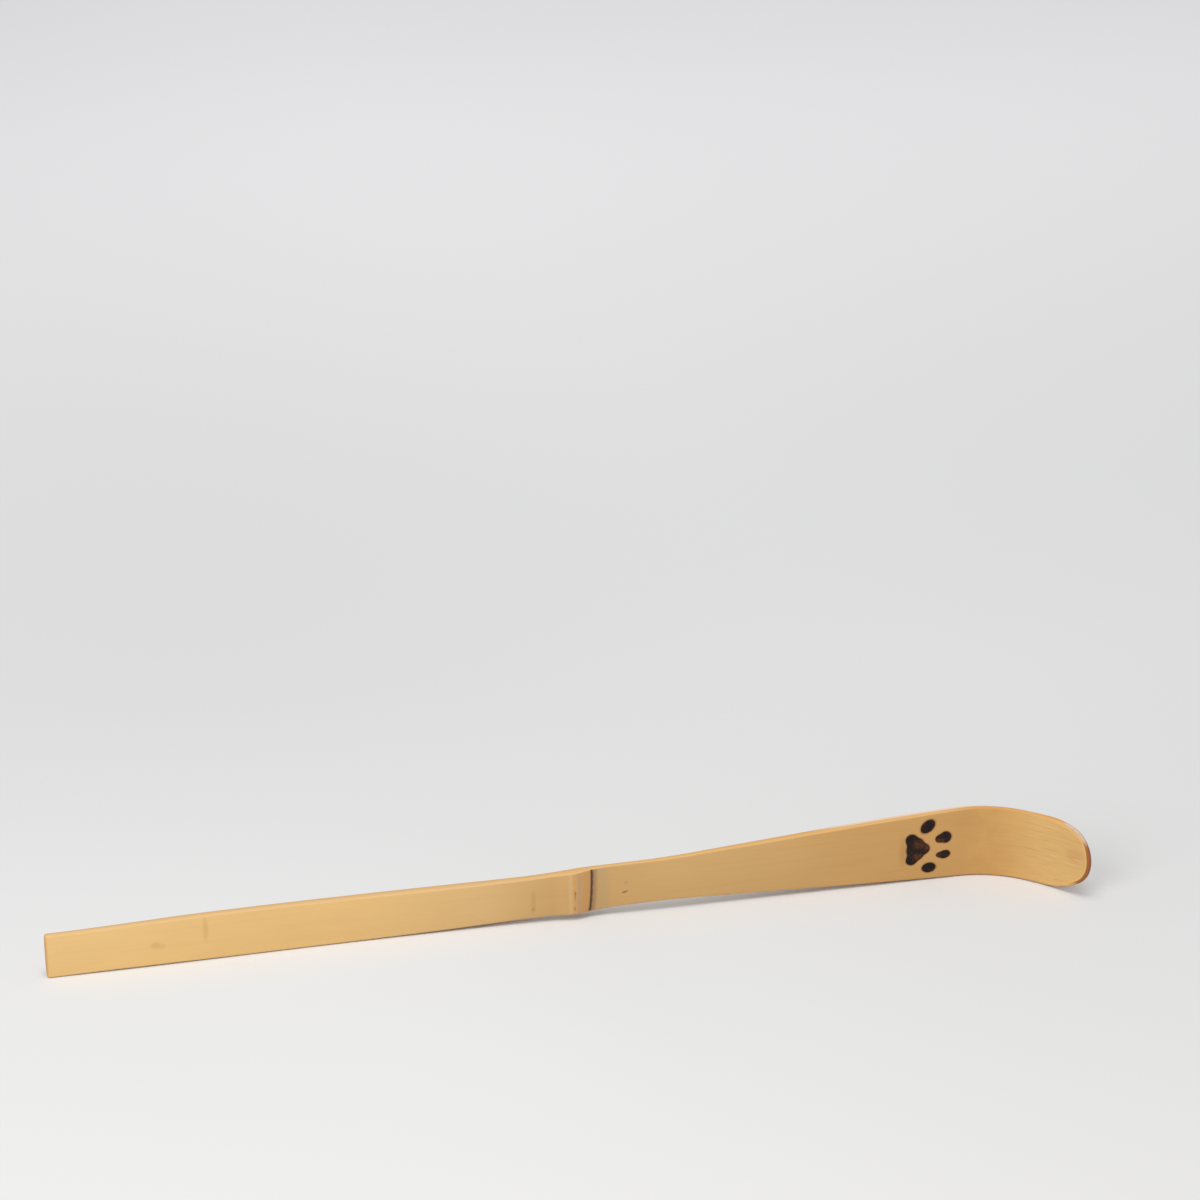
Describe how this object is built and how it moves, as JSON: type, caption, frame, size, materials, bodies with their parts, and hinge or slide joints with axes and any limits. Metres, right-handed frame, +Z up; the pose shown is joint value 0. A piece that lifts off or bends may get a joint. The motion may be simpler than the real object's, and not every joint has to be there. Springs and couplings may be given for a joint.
{
  "type": "tea scoop",
  "caption": "Slim bamboo tea scoop with a square-cut handle, a raised culm node and a blade that widens to a bent, rounded tip.",
  "frame": {"origin": "under the middle of the scoop's box, on the surface that its long edge stands on", "axes": "+X from the handle's cut end to the bent tip, -Y the way the skin face looks and the tip bends, +Z up across the width of the blade"},
  "size_m": [0.1799, 0.0183, 0.0132],
  "materials": {
    "bamboo": "satin"
  },
  "bodies": {
    "root": {"bamboo_scoop": "bamboo"}
  },
  "joints": []
}
